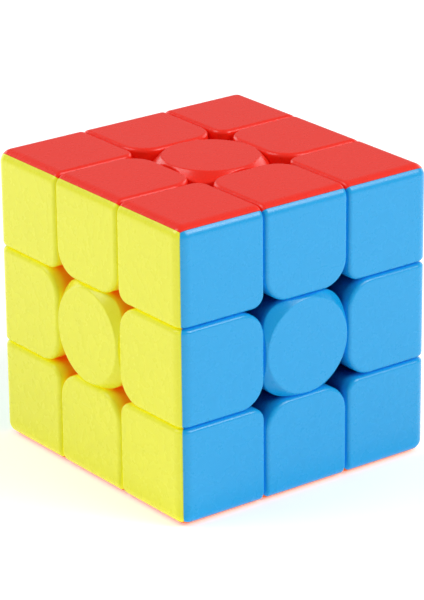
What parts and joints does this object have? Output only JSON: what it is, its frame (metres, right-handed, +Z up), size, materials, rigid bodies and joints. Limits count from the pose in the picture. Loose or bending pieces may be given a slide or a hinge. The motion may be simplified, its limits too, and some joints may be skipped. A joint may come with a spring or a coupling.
{
  "type": "twisty puzzle cube",
  "caption": "Stickerless twisty puzzle cube whose coloured layers turn about a sprung core, with round-faced centres.",
  "frame": {"origin": "middle of the lower centre's round face, on the surface that the cube stands on", "axes": "+Z up out of the red face, -Y out of the blue front face, -X out of the yellow left face"},
  "size_m": [0.0564, 0.0564, 0.0564],
  "materials": {
    "red_plastic": "satin moulded ABS",
    "orange_plastic": "satin moulded ABS",
    "blue_plastic": "satin moulded ABS",
    "green_plastic": "satin moulded ABS",
    "yellow_plastic": "satin moulded ABS",
    "white_plastic": "satin moulded ABS",
    "core_plastic": "plain moulded nylon",
    "screw_steel": "zinc plated",
    "spring_steel": "drawn wire",
    "washer_steel": "plain"
  },
  "bodies": {
    "frame": {"core": "core_plastic", "centre_screws": "screw_steel", "centre_springs": "spring_steel", "spring_washers": "washer_steel"},
    "centre_up": {"centre_up_red": "red_plastic"},
    "centre_down": {"centre_down_orange": "orange_plastic"},
    "centre_front": {"centre_front_blue": "blue_plastic"},
    "centre_back": {"centre_back_green": "green_plastic"},
    "centre_left": {"centre_left_yellow": "yellow_plastic"},
    "centre_right": {"centre_right_white": "white_plastic"},
    "edge_up_front": {"edge_up_front_red": "red_plastic", "edge_up_front_blue": "blue_plastic"},
    "edge_up_back": {"edge_up_back_red": "red_plastic", "edge_up_back_green": "green_plastic"},
    "edge_up_left": {"edge_up_left_red": "red_plastic", "edge_up_left_yellow": "yellow_plastic"},
    "edge_up_right": {"edge_up_right_red": "red_plastic", "edge_up_right_white": "white_plastic"},
    "edge_down_front": {"edge_down_front_orange": "orange_plastic", "edge_down_front_blue": "blue_plastic"},
    "edge_down_back": {"edge_down_back_orange": "orange_plastic", "edge_down_back_green": "green_plastic"},
    "edge_down_left": {"edge_down_left_orange": "orange_plastic", "edge_down_left_yellow": "yellow_plastic"},
    "edge_down_right": {"edge_down_right_orange": "orange_plastic", "edge_down_right_white": "white_plastic"},
    "edge_front_left": {"edge_front_left_blue": "blue_plastic", "edge_front_left_yellow": "yellow_plastic"},
    "edge_front_right": {"edge_front_right_blue": "blue_plastic", "edge_front_right_white": "white_plastic"},
    "edge_back_left": {"edge_back_left_green": "green_plastic", "edge_back_left_yellow": "yellow_plastic"},
    "edge_back_right": {"edge_back_right_green": "green_plastic", "edge_back_right_white": "white_plastic"},
    "corner_up_front_left": {"corner_up_front_left_red": "red_plastic", "corner_up_front_left_blue": "blue_plastic", "corner_up_front_left_yellow": "yellow_plastic"},
    "corner_up_front_right": {"corner_up_front_right_red": "red_plastic", "corner_up_front_right_blue": "blue_plastic", "corner_up_front_right_white": "white_plastic"},
    "corner_up_back_left": {"corner_up_back_left_red": "red_plastic", "corner_up_back_left_green": "green_plastic", "corner_up_back_left_yellow": "yellow_plastic"},
    "corner_up_back_right": {"corner_up_back_right_red": "red_plastic", "corner_up_back_right_green": "green_plastic", "corner_up_back_right_white": "white_plastic"},
    "corner_down_front_left": {"corner_down_front_left_orange": "orange_plastic", "corner_down_front_left_blue": "blue_plastic", "corner_down_front_left_yellow": "yellow_plastic"},
    "corner_down_front_right": {"corner_down_front_right_orange": "orange_plastic", "corner_down_front_right_blue": "blue_plastic", "corner_down_front_right_white": "white_plastic"},
    "corner_down_back_left": {"corner_down_back_left_orange": "orange_plastic", "corner_down_back_left_green": "green_plastic", "corner_down_back_left_yellow": "yellow_plastic"},
    "corner_down_back_right": {"corner_down_back_right_orange": "orange_plastic", "corner_down_back_right_green": "green_plastic", "corner_down_back_right_white": "white_plastic"}
  },
  "joints": [
    {"name": "up_turn", "type": "hinge", "parent": "frame", "child": "centre_up", "pos_m": [0, 0, 0.0282], "axis": [0, 0, -1], "continuous": true},
    {"name": "down_turn", "type": "hinge", "parent": "frame", "child": "centre_down", "pos_m": [0, 0, 0.0282], "axis": [0, 0, 1], "continuous": true},
    {"name": "front_turn", "type": "hinge", "parent": "frame", "child": "centre_front", "pos_m": [0, 0, 0.0282], "axis": [0, 1, 0], "continuous": true},
    {"name": "back_turn", "type": "hinge", "parent": "frame", "child": "centre_back", "pos_m": [0, 0, 0.0282], "axis": [0, -1, 0], "continuous": true},
    {"name": "left_turn", "type": "hinge", "parent": "frame", "child": "centre_left", "pos_m": [0, 0, 0.0282], "axis": [1, 0, 0], "continuous": true},
    {"name": "right_turn", "type": "hinge", "parent": "frame", "child": "centre_right", "pos_m": [0, 0, 0.0282], "axis": [-1, 0, 0], "continuous": true},
    {"name": "edge_up_front_with_front", "type": "hinge", "parent": "centre_up", "child": "edge_up_front", "pos_m": [0, 0, 0.0282], "axis": [0, 1, 0], "continuous": true},
    {"name": "edge_up_back_with_back", "type": "hinge", "parent": "centre_up", "child": "edge_up_back", "pos_m": [0, 0, 0.0282], "axis": [0, -1, 0], "continuous": true},
    {"name": "edge_up_left_with_left", "type": "hinge", "parent": "centre_up", "child": "edge_up_left", "pos_m": [0, 0, 0.0282], "axis": [1, 0, 0], "continuous": true},
    {"name": "edge_up_right_with_right", "type": "hinge", "parent": "centre_up", "child": "edge_up_right", "pos_m": [0, 0, 0.0282], "axis": [-1, 0, 0], "continuous": true},
    {"name": "edge_down_front_with_down", "type": "hinge", "parent": "centre_front", "child": "edge_down_front", "pos_m": [0, 0, 0.0282], "axis": [0, 0, 1], "continuous": true},
    {"name": "edge_down_back_with_down", "type": "hinge", "parent": "centre_back", "child": "edge_down_back", "pos_m": [0, 0, 0.0282], "axis": [0, 0, 1], "continuous": true},
    {"name": "edge_down_left_with_down", "type": "hinge", "parent": "centre_left", "child": "edge_down_left", "pos_m": [0, 0, 0.0282], "axis": [0, 0, 1], "continuous": true},
    {"name": "edge_down_right_with_down", "type": "hinge", "parent": "centre_right", "child": "edge_down_right", "pos_m": [0, 0, 0.0282], "axis": [0, 0, 1], "continuous": true},
    {"name": "edge_front_left_with_left", "type": "hinge", "parent": "centre_front", "child": "edge_front_left", "pos_m": [0, 0, 0.0282], "axis": [1, 0, 0], "continuous": true},
    {"name": "edge_front_right_with_front", "type": "hinge", "parent": "centre_right", "child": "edge_front_right", "pos_m": [0, 0, 0.0282], "axis": [0, 1, 0], "continuous": true},
    {"name": "edge_back_left_with_back", "type": "hinge", "parent": "centre_left", "child": "edge_back_left", "pos_m": [0, 0, 0.0282], "axis": [0, -1, 0], "continuous": true},
    {"name": "edge_back_right_with_right", "type": "hinge", "parent": "centre_back", "child": "edge_back_right", "pos_m": [0, 0, 0.0282], "axis": [-1, 0, 0], "continuous": true},
    {"name": "corner_up_front_left_with_left", "type": "hinge", "parent": "edge_up_front", "child": "corner_up_front_left", "pos_m": [0, 0, 0.0282], "axis": [1, 0, 0], "continuous": true},
    {"name": "corner_up_front_right_with_right", "type": "hinge", "parent": "edge_up_front", "child": "corner_up_front_right", "pos_m": [0, 0, 0.0282], "axis": [-1, 0, 0], "continuous": true},
    {"name": "corner_up_back_left_with_left", "type": "hinge", "parent": "edge_up_back", "child": "corner_up_back_left", "pos_m": [0, 0, 0.0282], "axis": [1, 0, 0], "continuous": true},
    {"name": "corner_up_back_right_with_right", "type": "hinge", "parent": "edge_up_back", "child": "corner_up_back_right", "pos_m": [0, 0, 0.0282], "axis": [-1, 0, 0], "continuous": true},
    {"name": "corner_down_front_left_with_left", "type": "hinge", "parent": "edge_down_front", "child": "corner_down_front_left", "pos_m": [0, 0, 0.0282], "axis": [1, 0, 0], "continuous": true},
    {"name": "corner_down_front_right_with_right", "type": "hinge", "parent": "edge_down_front", "child": "corner_down_front_right", "pos_m": [0, 0, 0.0282], "axis": [-1, 0, 0], "continuous": true},
    {"name": "corner_down_back_left_with_left", "type": "hinge", "parent": "edge_down_back", "child": "corner_down_back_left", "pos_m": [0, 0, 0.0282], "axis": [1, 0, 0], "continuous": true},
    {"name": "corner_down_back_right_with_right", "type": "hinge", "parent": "edge_down_back", "child": "corner_down_back_right", "pos_m": [0, 0, 0.0282], "axis": [-1, 0, 0], "continuous": true}
  ],
  "couplings": [
    {"joint": "edge_up_front_with_front", "follows": "front_turn", "ratio": 1},
    {"joint": "edge_up_back_with_back", "follows": "back_turn", "ratio": 1},
    {"joint": "edge_up_left_with_left", "follows": "left_turn", "ratio": 1},
    {"joint": "edge_up_right_with_right", "follows": "right_turn", "ratio": 1},
    {"joint": "edge_down_front_with_down", "follows": "down_turn", "ratio": 1},
    {"joint": "edge_down_back_with_down", "follows": "down_turn", "ratio": 1},
    {"joint": "edge_down_left_with_down", "follows": "down_turn", "ratio": 1},
    {"joint": "edge_down_right_with_down", "follows": "down_turn", "ratio": 1},
    {"joint": "edge_front_left_with_left", "follows": "left_turn", "ratio": 1},
    {"joint": "edge_front_right_with_front", "follows": "front_turn", "ratio": 1},
    {"joint": "edge_back_left_with_back", "follows": "back_turn", "ratio": 1},
    {"joint": "edge_back_right_with_right", "follows": "right_turn", "ratio": 1},
    {"joint": "corner_up_front_left_with_left", "follows": "left_turn", "ratio": 1},
    {"joint": "corner_up_front_right_with_right", "follows": "right_turn", "ratio": 1},
    {"joint": "corner_up_back_left_with_left", "follows": "left_turn", "ratio": 1},
    {"joint": "corner_up_back_right_with_right", "follows": "right_turn", "ratio": 1},
    {"joint": "corner_down_front_left_with_left", "follows": "left_turn", "ratio": 1},
    {"joint": "corner_down_front_right_with_right", "follows": "right_turn", "ratio": 1},
    {"joint": "corner_down_back_left_with_left", "follows": "left_turn", "ratio": 1},
    {"joint": "corner_down_back_right_with_right", "follows": "right_turn", "ratio": 1}
  ]
}
